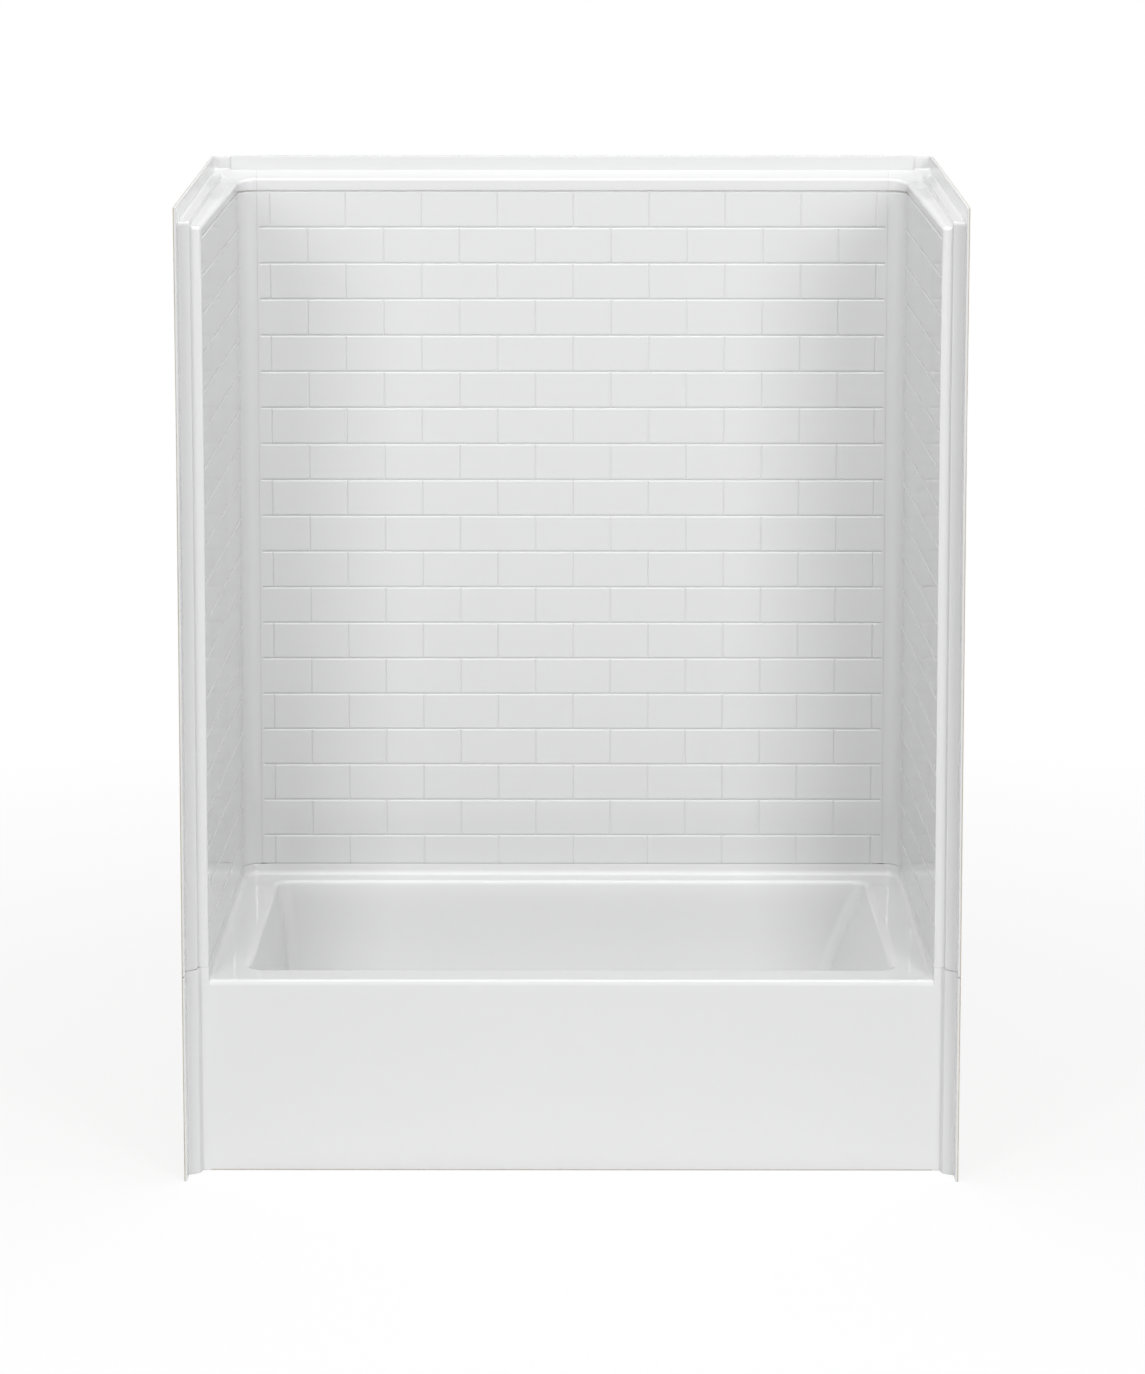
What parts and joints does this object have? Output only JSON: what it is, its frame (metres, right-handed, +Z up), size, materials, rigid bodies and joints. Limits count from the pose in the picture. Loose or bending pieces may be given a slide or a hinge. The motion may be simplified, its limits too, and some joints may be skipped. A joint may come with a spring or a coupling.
{
  "type": "tub and shower unit",
  "caption": "Alcove bathtub with plain apron and three surrounding shower wall panels in moulded brick-bond tile relief, with a nailing flange round the edge.",
  "frame": {"origin": "on the floor in the middle of the unit's plan", "axes": "+Z up, +Y from the apron towards the back wall, +X to the right seen from the front"},
  "size_m": [1.524, 0.864, 1.94],
  "materials": {
    "gelcoat": "glossy white gelcoat",
    "seal_foam": "closed-cell grey foam tape",
    "board": "resin-bonded particle board",
    "runner_timber": "sawn softwood",
    "polished_chrome": "polished chrome plate",
    "seal_rubber": "black moulded rubber",
    "waste_plastic": "white waste pipe plastic",
    "post_brass": "turned brass",
    "zinc_steel": "bright zinc-plated steel"
  },
  "bodies": {
    "unit": {"tub_shell": "gelcoat", "back_wall_panel": "gelcoat", "left_wall_panel": "gelcoat", "right_wall_panel": "gelcoat", "corner_seal_left": "seal_foam", "corner_seal_right": "seal_foam", "seam_seal_left": "seal_foam", "seam_seal_right": "seal_foam", "seam_seal_back": "seal_foam", "back_wall_board": "board", "left_wall_board": "board", "right_wall_board": "board", "apron_board": "board", "base_board": "board", "base_runner_front": "runner_timber", "base_runner_rear": "runner_timber", "drain_flange": "polished_chrome", "drain_washer": "seal_rubber", "drain_elbow": "waste_plastic", "stopper_post": "post_brass", "corner_bolts_left": "zinc_steel", "corner_bolts_right": "zinc_steel", "corner_nuts_left": "zinc_steel", "corner_nuts_right": "zinc_steel", "corner_washers_left": "zinc_steel", "corner_washers_right": "zinc_steel", "seam_bolts": "zinc_steel", "seam_nuts": "zinc_steel", "seam_washers": "zinc_steel"},
    "stopper": {"drain_stopper": "polished_chrome", "stopper_seal": "seal_rubber"}
  },
  "joints": [
    {"name": "stopper_slide", "type": "slide", "parent": "unit", "child": "stopper", "axis": [0, 0, 1], "range_m": [0, 0.009]}
  ]
}
